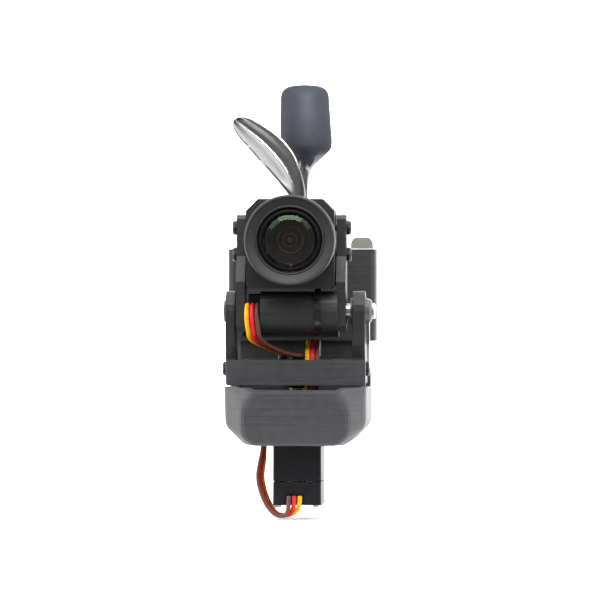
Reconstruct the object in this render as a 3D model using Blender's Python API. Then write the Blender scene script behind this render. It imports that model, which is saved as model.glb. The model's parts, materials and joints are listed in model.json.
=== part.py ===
"""A pan and tilt mount for a small video camera: a printed base with a micro servo hanging through it,
a turning platform with two yoke arms, and a tilting frame that holds the camera over a second servo.

Metres, +Z up. The origin is on the pan axis, in the plane of the base's underside. The camera faces -Y.
"""

import math

import bmesh
import bpy
from mathutils import Matrix, Vector

MM = 0.001
GAP = 0.3 * MM

# Joint axes
TILT_AXIS = Vector((0.0, -6.0, 32.2)) * MM

# Base fairing
BASE_HALF_WIDTH = 16.95 * MM
BASE_NOSE_HALF_WIDTH = 12.65 * MM
BASE_FRONT = -20.0 * MM
BASE_SHOULDER = -14.6 * MM
BASE_REAR = 31.0 * MM
BASE_CHAMFER_TOP = 4.9 * MM
BASE_RIM_FRONT = 12.4 * MM
BASE_RIM_REAR = 18.2 * MM
BASE_KNEE = 8.4 * MM
BASE_CORNER_RADIUS = 1.3 * MM
BASE_WALL = 1.8 * MM
BASE_FLOOR = 1.5 * MM
DECK_FRONT = 22.4 * MM

# Pan servo, a 9 g micro servo with its output end to the front
SERVO_WIDTH = 11.6 * MM
SERVO_LENGTH = 22.8 * MM
SERVO_SHAFT_OFFSET = 5.9 * MM
SERVO_BOTTOM = -14.5 * MM
SERVO_BOTTOM_SEAM = -8.8 * MM
SERVO_TAB_BOTTOM = 1.8 * MM
SERVO_TAB_TOP = 4.2 * MM
SERVO_TAB_LENGTH = 4.75 * MM
SERVO_CASE_TOP = 8.2 * MM
SERVO_BOSS_TOP = 13.2 * MM
SERVO_WALL = 1.0 * MM

# Turning platform
PLATE_BOTTOM = 14.4 * MM
PLATE_TOP = 20.5 * MM
PLATE_HALF_WIDTH = 16.7 * MM
PLATE_FRONT = -13.0 * MM
PLATE_BAR_DEPTH = 3.0 * MM
PLATE_REAR = 12.0 * MM

# Yoke arms, measured across X
LEFT_ARM = (-17.0 * MM, -14.75 * MM)
RIGHT_ARM = (13.45 * MM, 16.5 * MM)
ARM_LUG_RADIUS = 4.8 * MM

# Tilting frame and camera, measured across X
LEFT_CHEEK = (-14.4 * MM, -12.25 * MM)
RIGHT_CHEEK = (9.6 * MM, 11.9 * MM)
CHEEK_THICK_TOP = 55.3 * MM
BARREL_RADIUS = 4.9 * MM
BARREL_AXIS_Y = -10.2 * MM
BARREL_AXIS_Z = 32.0 * MM
CAMERA_CENTRE_X = -1.3 * MM
LENS_X = -1.1 * MM
LENS_Z = 49.2 * MM
CAMERA_HALF = 10.6 * MM
CAMERA_FRONT = -15.0 * MM
CAMERA_REAR = 1.0 * MM

# Tilt servo, a slimmer servo lying along X
TILT_SERVO_THICK = 8.4 * MM
TILT_SERVO_LENGTH = 20.0 * MM
TILT_SHAFT_OFFSET = 4.6 * MM

# Rear cradle and what it holds
CRADLE_HALF_WIDTH = 18.0 * MM
CRADLE_FRONT = 21.6 * MM
CRADLE_REAR = 35.0 * MM
CRADLE_BOTTOM = 24.7 * MM
CRADLE_TOP = 47.1 * MM
CRADLE_CENTRE_TOP = 44.2 * MM
MODULE_HALF_WIDTH = 15.0 * MM

# Leads
WIRE_RADIUS = 0.55 * MM

SEGMENTS = 20


def clear_scene():
    for old in list(bpy.data.objects):
        bpy.data.objects.remove(old, do_unlink=True)


def material(name, colour, roughness, metallic=0.0, alpha=1.0):
    made = bpy.data.materials.new(name)
    made.use_nodes = True
    shader = made.node_tree.nodes["Principled BSDF"]
    shader.inputs["Base Color"].default_value = (*colour, 1.0)
    shader.inputs["Roughness"].default_value = roughness
    shader.inputs["Metallic"].default_value = metallic
    shader.inputs["Alpha"].default_value = alpha
    return made


def make_object(name, mesh_data, finish, parent=None):
    """A named object whose origin is its parent empty's place, so that a moving piece sits on its axis."""
    mesh = bpy.data.meshes.new(name)
    bmesh.ops.recalc_face_normals(mesh_data, faces=mesh_data.faces)
    mesh_data.to_mesh(mesh)
    mesh_data.free()
    obj = bpy.data.objects.new(name, mesh)
    bpy.context.scene.collection.objects.link(obj)
    mesh.materials.append(finish)
    if parent is not None:
        mesh.transform(Matrix.Translation(-parent.matrix_world.translation))
        obj.parent = parent
    mesh.shade_smooth()
    mesh.set_sharp_from_angle(angle=math.radians(32))
    return obj


def block(low, high):
    shape = bmesh.new()
    bmesh.ops.create_cube(shape, size=1.0)
    low, high = Vector(low), Vector(high)
    middle = (low + high) / 2
    size = high - low
    bmesh.ops.transform(
        shape, matrix=Matrix.Translation(middle) @ Matrix.Diagonal((*size, 1)), verts=shape.verts
    )
    return shape


def rounded_block(low, high, radius, along, steps=2):
    """A block whose four edges along one axis are rounded."""
    shape = block(low, high)
    edges = []
    for edge in shape.edges:
        run = (edge.verts[1].co - edge.verts[0].co).normalized()
        if abs(run[along]) > 0.9:
            edges.append(edge)
    bmesh.ops.bevel(shape, geom=edges, offset=radius, segments=steps, affect="EDGES", profile=0.5)
    return shape


def prism(outline, start, end, along):
    """An outline of (u, v) points pushed along an axis: X takes (y, z), Y (x, z) and Z (x, y)."""
    shape = bmesh.new()

    def corner(u, v, depth):
        return {0: (depth, u, v), 1: (u, depth, v), 2: (u, v, depth)}[along]

    near = [shape.verts.new(corner(u, v, start)) for u, v in outline]
    far = [shape.verts.new(corner(u, v, end)) for u, v in outline]
    shape.faces.new(near)
    shape.faces.new(far)
    for i in range(len(outline)):
        j = (i + 1) % len(outline)
        shape.faces.new((near[i], near[j], far[j], far[i]))
    return shape


def turned(profile, centre, along=2, segments=SEGMENTS):
    """A profile of (radius, height) points, turned round an axis. A ring has no point at radius zero."""
    shape = bmesh.new()
    centre = Vector(centre)
    rings = []
    for radius, height in profile:
        if radius == 0:
            rings.append([shape.verts.new((0, 0, height))])
            continue
        turn = [2 * math.pi * i / segments for i in range(segments)]
        rings.append(
            [shape.verts.new((radius * math.cos(a), radius * math.sin(a), height)) for a in turn]
        )
    pairs = list(zip(rings, rings[1:]))
    if profile[0][0] and profile[-1][0]:
        pairs.append((rings[-1], rings[0]))
    for lower, upper in pairs:
        for i in range(segments):
            j = (i + 1) % segments
            around = [(lower, i), (lower, j), (upper, j), (upper, i)]
            corners = list(dict.fromkeys(ring[k % len(ring)] for ring, k in around))
            if len(corners) > 2:
                shape.faces.new(corners)
    quarter = math.pi / 2
    turn_to = [Matrix.Rotation(quarter, 4, "Y"), Matrix.Rotation(quarter, 4, "X"), Matrix()][along]
    bmesh.ops.transform(shape, matrix=Matrix.Translation(centre) @ turn_to, verts=shape.verts)
    return shape


def hull(points):
    shape = bmesh.new()
    verts = [shape.verts.new(point) for point in points]
    made = bmesh.ops.convex_hull(shape, input=verts)
    spare = set(made["geom_interior"] + made["geom_unused"])
    bmesh.ops.delete(shape, geom=[item for item in verts if item in spare], context="VERTS")
    bmesh.ops.dissolve_limit(shape, angle_limit=math.radians(1), verts=shape.verts, edges=shape.edges)
    return shape


def cut(obj, shape, operation="DIFFERENCE"):
    """A Boolean with a hidden tool made from a shape."""
    bmesh.ops.recalc_face_normals(shape, faces=shape.faces)
    mesh = bpy.data.meshes.new(obj.name + "_tool")
    shape.to_mesh(mesh)
    shape.free()
    tool = bpy.data.objects.new(f"{obj.name}_tool_{len(obj.modifiers)}", mesh)
    bpy.context.scene.collection.objects.link(tool)
    tool.hide_render = True
    tool.display_type = "WIRE"
    tool.hide_set(True)
    if obj.parent is not None:
        mesh.transform(Matrix.Translation(-obj.parent.matrix_world.translation))
        tool.parent = obj.parent
    modifier = obj.modifiers.new(f"cut_{len(obj.modifiers)}", "BOOLEAN")
    modifier.operation = operation
    modifier.object = tool
    modifier.solver = "EXACT"


def rod(radius, start, end, centre, along, segments=SEGMENTS):
    """A plain cylinder from one place to another along an axis through a centre."""
    sign = -1 if along == 1 else 1
    low, high = (start, end) if sign > 0 else (-end, -start)
    middle = Vector(centre)
    middle[along] = 0
    return turned([(0, low), (radius, low), (radius, high), (0, high)], middle, along, segments)


def axis_empty(name, place, parent=None):
    empty = bpy.data.objects.new(name, None)
    bpy.context.scene.collection.objects.link(empty)
    empty.location = place if parent is None else Vector(place) - parent.location
    empty.parent = parent
    bpy.context.view_layer.update()
    return empty


def arc(centre, radius, start, end, steps):
    """Points on an arc, angles in degrees."""
    turns = [math.radians(start + (end - start) * i / steps) for i in range(steps + 1)]
    return [(centre[0] + radius * math.cos(a), centre[1] + radius * math.sin(a)) for a in turns]


def screw(name, finish, head_radius, head_height, shank_radius, shank_length, parent=None):
    """A socket screw along +Z with its head's underside at the local origin and the shank below it."""
    socket = 0.45 * head_radius
    depth = 0.55 * head_height
    profile = [
        (0, -shank_length),
        (shank_radius * 0.6, -shank_length),
        (shank_radius, -shank_length + 0.4 * MM),
        (shank_radius, 0),
        (head_radius, 0),
        (head_radius, head_height * 0.6),
        (head_radius * 0.8, head_height),
        (socket, head_height),
        (socket, head_height - depth),
        (0, head_height - depth),
    ]
    obj = make_object(name, turned(profile, (0, 0, 0), 2, 12), finish)
    obj.parent = parent
    return obj


def place_screw(obj, place, direction):
    """Turns a screw's head towards a direction and puts its head's underside at a place."""
    obj.rotation_mode = "QUATERNION"
    obj.rotation_quaternion = Vector((0, 0, 1)).rotation_difference(Vector(direction))
    origin = obj.parent.matrix_world.translation if obj.parent else Vector((0, 0, 0))
    obj.location = Vector(place) - origin


def smooth_route(points, steps):
    """A Catmull-Rom curve through points, with a number of steps between neighbours."""
    padded = [2 * points[0] - points[1], *points, 2 * points[-1] - points[-2]]
    route = []
    for a, b, c, d in zip(padded, padded[1:], padded[2:], padded[3:]):
        for i in range(steps):
            t = i / steps
            bend = (2 * a - 5 * b + 4 * c - d) * t * t
            route.append(0.5 * (2 * b + (c - a) * t + bend + (3 * b - a - 3 * c + d) * t**3))
    return [*route, points[-1]]


def wire(name, route, finish, parent=None):
    data = bpy.data.curves.new(name, "CURVE")
    data.dimensions = "3D"
    data.bevel_depth = WIRE_RADIUS
    data.bevel_resolution = 2
    data.use_fill_caps = True
    line = data.splines.new("POLY")
    line.points.add(len(route) - 1)
    origin = parent.matrix_world.translation if parent else Vector((0, 0, 0))
    for point, place in zip(line.points, route):
        point.co = (*(place - origin), 1)
    data.materials.append(finish)
    obj = bpy.data.objects.new(name, data)
    bpy.context.scene.collection.objects.link(obj)
    obj.parent = parent
    return obj


def base_points(inset=0.0, floor=0.0, lift=0.0):
    """The fairing's corner points. A wall's thickness moves them all in, and a lift opens the top."""
    nose = BASE_NOSE_HALF_WIDTH - inset
    side = BASE_HALF_WIDTH - inset
    foot = side - BASE_CHAMFER_TOP + floor
    front = BASE_FRONT + inset
    rear = BASE_REAR - inset
    shoulder = BASE_SHOULDER + inset * 0.4
    tail = rear - 5.0 * MM
    points = []
    for sign in (-1, 1):
        points += [
            (sign * (foot - 2.0 * MM), front, floor),
            (sign * foot, shoulder, floor),
            (sign * foot, tail, floor),
            (sign * nose, front, floor + 2.4 * MM),
            (sign * nose, front, BASE_KNEE),
            (sign * (nose - 2.3 * MM), front, BASE_RIM_FRONT + lift),
            (sign * side, shoulder, BASE_CHAMFER_TOP),
            (sign * side, tail, BASE_CHAMFER_TOP),
            (sign * side, shoulder, 14.2 * MM + lift),
            (sign * side, tail, 17.2 * MM + lift),
            (sign * (side - 0.6 * MM), tail, BASE_RIM_REAR + lift),
            (sign * (side - 5.0 * MM), rear, BASE_RIM_REAR + lift),
            (sign * (side - 5.0 * MM), rear, BASE_CHAMFER_TOP),
            (sign * (foot - 3.0 * MM), rear, floor + 2.0 * MM),
        ]
    return points


def round_edges(shape, radius, sharper_than, keep, steps=3):
    """Rounds the edges whose faces turn by more than an angle and whose middle passes a test."""
    edges = []
    for edge in shape.edges:
        middle = (edge.verts[0].co + edge.verts[1].co) / 2
        if len(edge.link_faces) == 2 and edge.calc_face_angle() > sharper_than and keep(middle):
            edges.append(edge)
    bmesh.ops.bevel(
        shape, geom=edges, offset=radius, segments=steps, affect="EDGES", profile=0.5, clamp_overlap=True
    )


def below_rim(middle):
    """True for the fairing's outside edges and false for those round its open top."""
    return middle.z < BASE_RIM_FRONT - 0.5 * MM


def build_base(finish):
    outside = hull(base_points())
    round_edges(outside, BASE_CORNER_RADIUS, math.radians(14), below_rim)
    fairing = make_object("base_fairing", outside, finish["printed"])
    cavity = hull(base_points(BASE_WALL, BASE_FLOOR, 6.0 * MM))
    bmesh.ops.bisect_plane(
        cavity,
        geom=cavity.verts[:] + cavity.edges[:] + cavity.faces[:],
        plane_co=(0, DECK_FRONT, 0),
        plane_no=(0, 1, 0),
        clear_outer=True,
    )
    bmesh.ops.holes_fill(cavity, edges=[edge for edge in cavity.edges if edge.is_boundary], sides=0)
    cut(fairing, cavity)
    # Room for the platform's corners as they sweep round
    cut(fairing, rod(21.9 * MM, 13.9 * MM, 30 * MM, (0, 0, 0), 2, 32))
    # The rim stays level below the bar at the two front corners
    cut(fairing, block((-25 * MM, -25 * MM, 14.2 * MM), (25 * MM, -8.5 * MM, 25 * MM)))
    half = SERVO_WIDTH / 2 + GAP
    front = -SERVO_SHAFT_OFFSET - GAP
    rear = SERVO_LENGTH - SERVO_SHAFT_OFFSET + GAP
    cut(fairing, block((-half, front, -1 * MM), (half, rear, 3 * MM)))
    # Slot in the floor where the pan servo's lead comes up
    cut(
        fairing,
        rounded_block((-9.5 * MM, -5.0 * MM, -1 * MM), (-7.0 * MM, 2.6 * MM, 3 * MM), 1.1 * MM, 2),
    )
    # Screw holes: tab bosses at the front and rear, and the cradle's two
    for along in (front - 2.2 * MM, rear + 2.2 * MM):
        cut(fairing, rod(0.95 * MM, -1 * MM, 3 * MM, (0, along, 0), 2, 12))
    for x in (-11 * MM, 11 * MM):
        cut(fairing, rod(1.15 * MM, 12 * MM, 20 * MM, (x, 26.5 * MM, 0), 2, 12))


def build_pan_servo(finish):
    half = SERVO_WIDTH / 2
    front = -SERVO_SHAFT_OFFSET
    rear = SERVO_LENGTH - SERVO_SHAFT_OFFSET
    wall = SERVO_WALL
    case = make_object(
        "pan_servo_case",
        rounded_block(
            (-half, front, SERVO_BOTTOM_SEAM + 0.1 * MM),
            (half, rear, SERVO_TAB_TOP + 0.6 * MM),
            0.5 * MM,
            2,
        ),
        finish["servo"],
    )
    tabs_low = (-half + 0.05 * MM, front - SERVO_TAB_LENGTH, SERVO_TAB_BOTTOM)
    tabs_high = (half - 0.05 * MM, rear + SERVO_TAB_LENGTH, SERVO_TAB_TOP)
    cut(case, rounded_block(tabs_low, tabs_high, 0.8 * MM, 2), "UNION")
    cut(case, block((-half + wall, front + wall, -20 * MM), (half - wall, rear - wall, 20 * MM)))
    tab_screws = (front - 2.5 * MM, rear + 2.5 * MM)
    for along in tab_screws:
        cut(case, rod(1.1 * MM, 0, 8 * MM, (0, along, 0), 2, 12))

    cover = make_object(
        "pan_servo_gear_cover",
        rounded_block(
            (-half, front, SERVO_TAB_TOP + 0.7 * MM), (half, rear, SERVO_CASE_TOP), 0.5 * MM, 2
        ),
        finish["servo"],
    )
    cut(cover, rod(5.85 * MM, 6 * MM, 12.2 * MM, (0, 0, 0), 2), "UNION")
    cut(cover, rod(2.7 * MM, 6 * MM, 12.2 * MM, (0, 6.0 * MM, 0), 2, 16), "UNION")
    cut(cover, rod(4.6 * MM, 11 * MM, SERVO_BOSS_TOP, (0, 0, 0), 2), "UNION")
    hollow = block((-half + wall, front + wall, 0), (half - wall, rear - wall, SERVO_CASE_TOP - wall))
    cut(cover, hollow)
    cut(cover, rod(3.0 * MM, 5 * MM, 20 * MM, (0, 0, 0), 2))

    bottom = make_object(
        "pan_servo_bottom_cover",
        rounded_block(
            (-half, front, SERVO_BOTTOM), (half, rear, SERVO_BOTTOM_SEAM - 0.1 * MM), 0.5 * MM, 2
        ),
        finish["servo"],
    )
    cut(bottom, block((-half + wall, front + wall, SERVO_BOTTOM + wall), (half - wall, rear - wall, 0)))
    # Notch where the three wires come out, towards the front
    cut(
        bottom,
        block(
            (-2.9 * MM, front - 1 * MM, SERVO_BOTTOM - 1 * MM), (1.7 * MM, front + 0.55 * MM, -11.7 * MM)
        ),
    )

    motor = [
        (0, -12.4),
        (4.0, -12.4),
        (4.3, -12.0),
        (4.3, 1.2),
        (2.0, 1.2),
        (2.0, 2.4),
        (0.6, 2.4),
        (0.6, 4.2),
        (0, 4.2),
    ]
    motor_mm = [(r * MM, z * MM) for r, z in motor]
    make_object("pan_servo_motor", turned(motor_mm, (0, 10.6 * MM, 0), 2, 20), finish["steel"])
    board_low = (-4.6 * MM, -4.4 * MM, -12.6 * MM)
    board = make_object(
        "pan_servo_board", block(board_low, (4.6 * MM, 5.6 * MM, -11.6 * MM)), finish["board"]
    )
    cut(board, rod(0.8 * MM, -14 * MM, -10 * MM, (3.4 * MM, 4.4 * MM, 0), 2, 8))
    for i, along in enumerate(tab_screws):
        item = screw(
            f"pan_servo_tab_screw_{i + 1}", finish["black_steel"], 1.9 * MM, 1.3 * MM, 0.85 * MM, 3.6 * MM
        )
        place_screw(item, (0, along, SERVO_TAB_TOP + 0.05 * MM), (0, 0, 1))
    corner = half - 1.1 * MM
    corners = [(x, y) for y in (front + 1.05 * MM, rear - 1.05 * MM) for x in (-corner, corner)]
    for i, (x, y) in enumerate(corners):
        tool = rod(0.62 * MM, -20 * MM, -12 * MM, (x, y, 0), 2, 10)
        cut(bottom, tool)
        item = screw(
            f"pan_servo_case_screw_{i + 1}", finish["steel"], 1.0 * MM, 0.55 * MM, 0.5 * MM, 2.0 * MM
        )
        place_screw(item, (x, y, SERVO_BOTTOM - 0.05 * MM), (0, 0, -1))


def build_platform(finish, pan):
    """The turning platform, what fixes it to the pan servo, and the yoke arms."""
    shaft_profile = [
        (2.9, 9.2), (2.9, 11.0), (2.3, 11.4), (2.3, 16.0), (1.1, 16.0), (1.1, 12.4), (0, 12.4)
    ]
    shaft = [(0, 9.2 * MM)] + [(r * MM, z * MM) for r, z in shaft_profile]
    make_object("pan_output_shaft", turned(shaft, (0, 0, 0)), finish["brass"], pan)

    plate = make_object(
        "pan_platform",
        block(
            (-PLATE_HALF_WIDTH, PLATE_FRONT, PLATE_BOTTOM),
            (PLATE_HALF_WIDTH, PLATE_FRONT + PLATE_BAR_DEPTH, PLATE_TOP),
        ),
        finish["printed"],
        pan,
    )
    inner_left = LEFT_ARM[1] + GAP
    inner_right = RIGHT_ARM[0] - GAP
    bar_back = PLATE_FRONT + PLATE_BAR_DEPTH - 0.5 * MM
    plan = [(inner_left, bar_back), (inner_right, bar_back), (inner_right, PLATE_REAR - 3 * MM)]
    plan += [
        (inner_right - 3 * MM, PLATE_REAR),
        (inner_left + 3 * MM, PLATE_REAR),
        (inner_left, PLATE_REAR - 3 * MM),
    ]
    cut(plate, prism(plan, PLATE_BOTTOM, PLATE_TOP, 2), "UNION")
    # Pocket under the platform for the horn, and its holes
    cut(plate, rod(6.0 * MM, 10 * MM, 17.2 * MM, (0, 0, 0), 2))
    fixings = (-3.6 * MM, 3.6 * MM)
    for x in fixings:
        cut(plate, rod(0.95 * MM, 10 * MM, 30 * MM, (x, 0, 0), 2, 10))
    cut(plate, rod(1.3 * MM, 10 * MM, 30 * MM, (0, 0, 0), 2, 12))
    # Lead passage just behind the bar
    cut(plate, rounded_block((1.6 * MM, -9.7 * MM, 10 * MM), (6.0 * MM, -7.6 * MM, 30 * MM), 0.6 * MM, 2))

    horn = [
        (2.45, 13.6),
        (3.5, 13.6),
        (3.5, 14.8),
        (5.7, 14.8),
        (5.7, 16.9),
        (1.3, 16.9),
        (1.3, 16.3),
        (2.45, 16.3),
    ]
    horn_obj = make_object(
        "pan_servo_horn", turned([(r * MM, z * MM) for r, z in horn], (0, 0, 0)), finish["servo"], pan
    )
    for x in fixings:
        cut(horn_obj, rod(0.95 * MM, 15.0 * MM, 20 * MM, (x, 0, 0), 2, 10))
    item = screw("pan_horn_screw", finish["black_steel"], 1.7 * MM, 1.2 * MM, 0.85 * MM, 6.6 * MM, pan)
    place_screw(item, (0, 0, PLATE_TOP + 0.05 * MM), (0, 0, 1))
    for i, x in enumerate(fixings):
        item = screw(
            f"horn_fixing_screw_{i + 1}", finish["black_steel"], 1.2 * MM, 1.0 * MM, 0.7 * MM, 4.6 * MM, pan
        )
        place_screw(item, (x, 0, PLATE_TOP + 0.05 * MM), (0, 0, 1))

    ty, tz = TILT_AXIS.y, TILT_AXIS.z
    foot_bottom = PLATE_BOTTOM + 0.4 * MM
    foot_front = PLATE_FRONT + PLATE_BAR_DEPTH + GAP
    profile = [
        (foot_front, foot_bottom), (5.5 * MM, foot_bottom), (5.5 * MM, 20.4 * MM), (0.4 * MM, 26.0 * MM)
    ]
    profile += arc((ty, tz), ARM_LUG_RADIUS, 0, 180, 10)
    profile += [(ty - ARM_LUG_RADIUS, 24 * MM), (foot_front, 21 * MM)]
    screw_y, screw_z = -4.6 * MM, 18.3 * MM
    for side, (low, high) in (("left", LEFT_ARM), ("right", RIGHT_ARM)):
        arm = make_object(f"yoke_arm_{side}", prism(profile, low, high, 0), finish["printed"], pan)
        sign = -1 if side == "left" else 1
        outer = low if side == "left" else high
        inner = inner_left if side == "left" else inner_right
        bore = 2.1 * MM if side == "left" else 3.5 * MM
        cut(arm, rod(bore, low - 5 * MM, high + 5 * MM, TILT_AXIS, 0))
        cut(arm, rod(1.05 * MM, low - 5 * MM, high + 5 * MM, (0, screw_y, screw_z), 0, 10))
        reach = sorted((inner - sign * 5.8 * MM, inner + sign * 1 * MM))
        cut(plate, rod(1.05 * MM, reach[0], reach[1], (0, screw_y, screw_z), 0, 10))
        item = screw(
            f"yoke_screw_{side}", finish["black_steel"], 1.75 * MM, 0.9 * MM, 0.9 * MM, 7.4 * MM, pan
        )
        place_screw(item, (outer + sign * 0.05 * MM, screw_y, screw_z), (sign, 0, 0))


def build_tilt_drive(finish, pan):
    """The nylon horn on the right yoke arm, its screw and shaft, and the pivot on the left."""
    ty, tz = TILT_AXIS.y, TILT_AXIS.z
    right = RIGHT_ARM[1]
    hub = [(0, 12.9), (3.1, 12.9), (3.1, 16.6), (2.8, 17.6), (2.4, 18.0), (0, 18.0)]
    hub_mm = [(r * MM, x * MM) for r, x in hub]
    horn = make_object("tilt_horn", turned(hub_mm, (0, ty, tz), 0, 20), finish["nylon"], pan)
    blade = [
        (ty - 2.3 * MM, tz),
        (ty - 1.3 * MM, tz - 7.0 * MM),
        (ty, tz - 8.0 * MM),
        (ty + 1.3 * MM, tz - 7.0 * MM),
    ]
    blade += [(ty + 2.3 * MM, tz)]
    cut(horn, prism(blade, right + 0.15 * MM, right + 0.95 * MM, 0), "UNION")
    cut(horn, rod(2.0 * MM, 12 * MM, 15.8 * MM, TILT_AXIS, 0, 20))
    cut(horn, rod(1.3 * MM, 15.5 * MM, 20 * MM, TILT_AXIS, 0, 14))
    shaft = [
        (0, 9.0), (2.3, 9.0), (2.3, 11.2), (1.8, 11.4), (1.8, 15.4), (0.9, 15.4), (0.9, 12.8), (0, 12.8)
    ]
    make_object(
        "tilt_output_shaft",
        turned([(r * MM, x * MM) for r, x in shaft], (0, ty, tz), 0, 20),
        finish["steel"],
        pan,
    )
    item = screw("tilt_horn_screw", finish["steel"], 1.9 * MM, 0.9 * MM, 0.75 * MM, 4.6 * MM, pan)
    place_screw(item, (18.05 * MM, ty, tz), (1, 0, 0))
    pin = [
        (0, -17.5),
        (2.6, -17.5),
        (2.6, -17.05),
        (1.95, -17.05),
        (1.95, -14.6),
        (1.5, -14.6),
        (1.5, -12.7),
        (0, -12.7),
    ]
    make_object(
        "tilt_pivot_pin",
        turned([(r * MM, x * MM) for r, x in pin], (0, ty, tz), 0, 16),
        finish["black_steel"],
        pan,
    )


def build_tilt_frame(finish, tilt):
    ty, tz = TILT_AXIS.y, TILT_AXIS.z
    half = TILT_SERVO_THICK / 2
    front = ty - 6.5 * MM
    rear = ty + 6.5 * MM
    cheek = arc((ty, tz), 5.0 * MM, 250, 330, 6)
    cheek += [
        (rear - 1.5 * MM, tz + 4.6 * MM), (rear - 1.5 * MM, 54.3 * MM), (rear - 2.5 * MM, CHEEK_THICK_TOP)
    ]
    cheek += [(ty - 1.6 * MM, CHEEK_THICK_TOP), (ty - 2.6 * MM, 54.3 * MM), (ty - 2.6 * MM, 45.4 * MM)]
    cheek += [(front, 39.2 * MM), (front, tz - 3.6 * MM), (front + 1.2 * MM, tz - 4.9 * MM)]
    frame = make_object("tilt_frame", prism(cheek, *LEFT_CHEEK, 0), finish["printed"], tilt)
    cut(frame, prism(cheek, *RIGHT_CHEEK, 0), "UNION")
    # The barrel in front of the servo joins the two cheeks
    barrel = rod(BARREL_RADIUS, -8.5 * MM, 10.0 * MM, (0, BARREL_AXIS_Y, BARREL_AXIS_Z), 0, 28)
    cut(frame, barrel, "UNION")
    # A bridge under the servo ties the cheeks together behind the barrel
    bridge = block((-13 * MM, ty - 1 * MM, tz - 6.2 * MM), (10 * MM, ty + 3.6 * MM, tz - 4.2 * MM))
    cut(frame, bridge, "UNION")
    strip = block((-13 * MM, ty - 6.2 * MM, tz - 4.9 * MM), (-7.6 * MM, ty - 4.8 * MM, tz - 3.6 * MM))
    cut(frame, strip, "UNION")
    # Pocket for the servo, open to the rear
    pocket_front = ty - TILT_SHAFT_OFFSET - GAP
    cut(frame, block((-11.6 * MM, pocket_front, tz - half - GAP), (9.0 * MM, 20 * MM, tz + half + GAP)))
    cut(frame, block((8.0 * MM, ty - 3.0 * MM, tz - 3.0 * MM), (20 * MM, ty + 3.0 * MM, tz + 3.0 * MM)))
    cut(frame, rod(1.65 * MM, -20 * MM, -11 * MM, TILT_AXIS, 0, 16))
    for y, z in camera_screw_places():
        cut(frame, rod(1.05 * MM, -20 * MM, -12 * MM, (0, y, z), 0, 10))
        cut(frame, rod(1.05 * MM, 9 * MM, 20 * MM, (0, y, z), 0, 10))


def camera_screw_places():
    y = TILT_AXIS.y + 1.2 * MM
    return ((y, 52.2 * MM), (y, 45.8 * MM))


def build_tilt_servo(finish, tilt):
    """The slim servo that lies along X in the frame, output end to the front."""
    ty, tz = TILT_AXIS.y, TILT_AXIS.z
    half = TILT_SERVO_THICK / 2
    front = ty - TILT_SHAFT_OFFSET
    rear = front + TILT_SERVO_LENGTH
    wall = 0.8 * MM
    seam_low, seam_high = -7.6 * MM, 4.6 * MM
    case = make_object(
        "tilt_servo_case",
        rounded_block((seam_low, front, tz - half), (seam_high, rear, tz + half), 0.4 * MM, 0),
        finish["servo"],
        tilt,
    )
    cut(case, block((-20 * MM, front + wall, tz - half + wall), (20 * MM, rear - wall, tz + half - wall)))
    cover = make_object(
        "tilt_servo_gear_cover",
        rounded_block(
            (seam_high + 0.15 * MM, front, tz - half), (8.6 * MM, rear, tz + half), 0.4 * MM, 0
        ),
        finish["servo"],
        tilt,
    )
    cut(cover, block((0, front + wall, tz - half + wall), (7.7 * MM, rear - wall, tz + half - wall)))
    cut(cover, rod(2.5 * MM, 5 * MM, 12 * MM, TILT_AXIS, 0, 20))
    bottom = make_object(
        "tilt_servo_bottom_cover",
        rounded_block(
            (-11.4 * MM, front, tz - half), (seam_low - 0.15 * MM, rear, tz + half), 0.4 * MM, 0
        ),
        finish["servo"],
        tilt,
    )
    cut(bottom, block((-10.5 * MM, front + wall, tz - half + wall), (0, rear - wall, tz + half - wall)))
    motor = [(0, -6.8), (3.0, -6.8), (3.0, 3.6), (0.5, 3.6), (0.5, 5.6), (0, 5.6)]
    motor_mm = [(r * MM, x * MM) for r, x in motor]
    make_object(
        "tilt_servo_motor", turned(motor_mm, (0, rear - 4.6 * MM, tz), 0, 16), finish["steel"], tilt
    )
    board = block(
        (-9.6 * MM, front + 1.4 * MM, tz - 2.8 * MM), (-8.8 * MM, rear - 1.6 * MM, tz + 2.8 * MM)
    )
    make_object("tilt_servo_board", board, finish["board"], tilt)


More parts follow.
